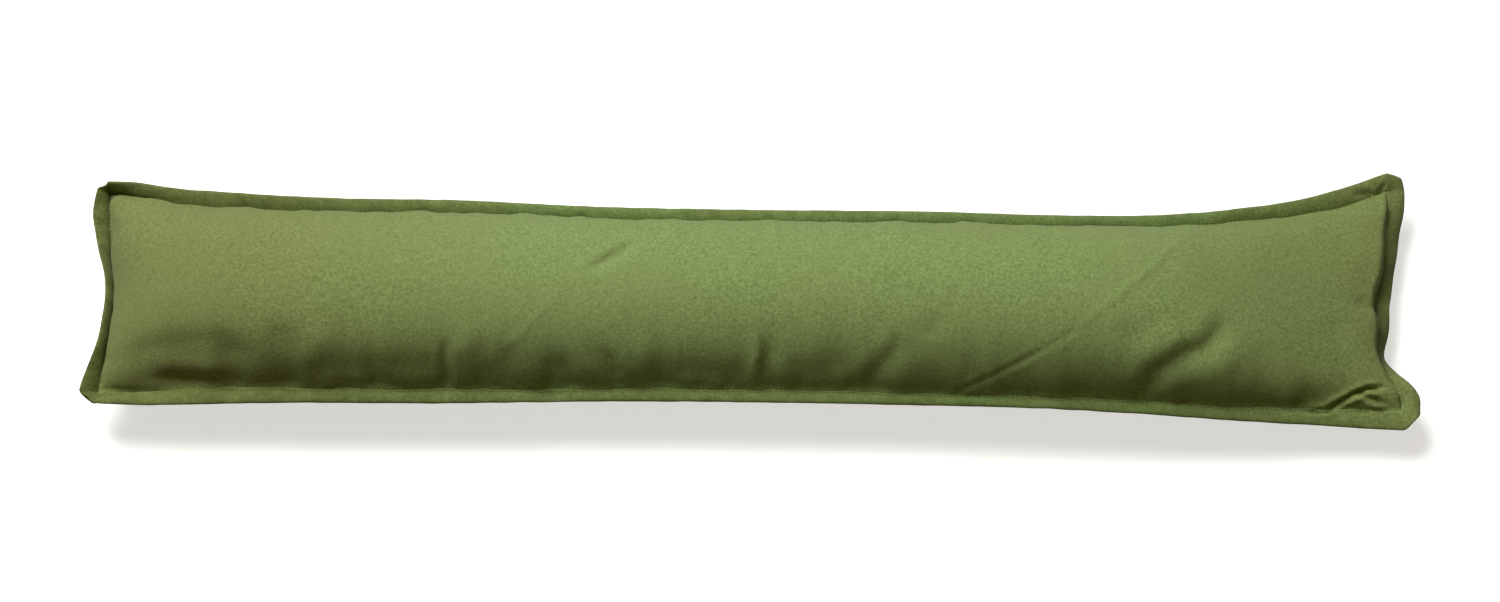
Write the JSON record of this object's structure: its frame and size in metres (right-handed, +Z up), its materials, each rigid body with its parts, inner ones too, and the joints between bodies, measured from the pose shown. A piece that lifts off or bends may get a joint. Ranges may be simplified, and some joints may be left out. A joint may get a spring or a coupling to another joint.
{
  "type": "draught excluder",
  "caption": "Long narrow stuffed cushion with a top-stitched flange all round, laid along the foot of a door to stop draughts.",
  "frame": {"origin": "middle of the cushion's bounding box, on the surface it rests on", "axes": "+X along the cushion's length, +Y towards its back edge, +Z up out of its front panel"},
  "size_m": [0.886, 0.1876, 0.089],
  "materials": {
    "green_brushed_cotton": "plain brushed cotton, matt with a soft short nap"
  },
  "bodies": {
    "root": {"cushion": "green_brushed_cotton"}
  },
  "joints": []
}
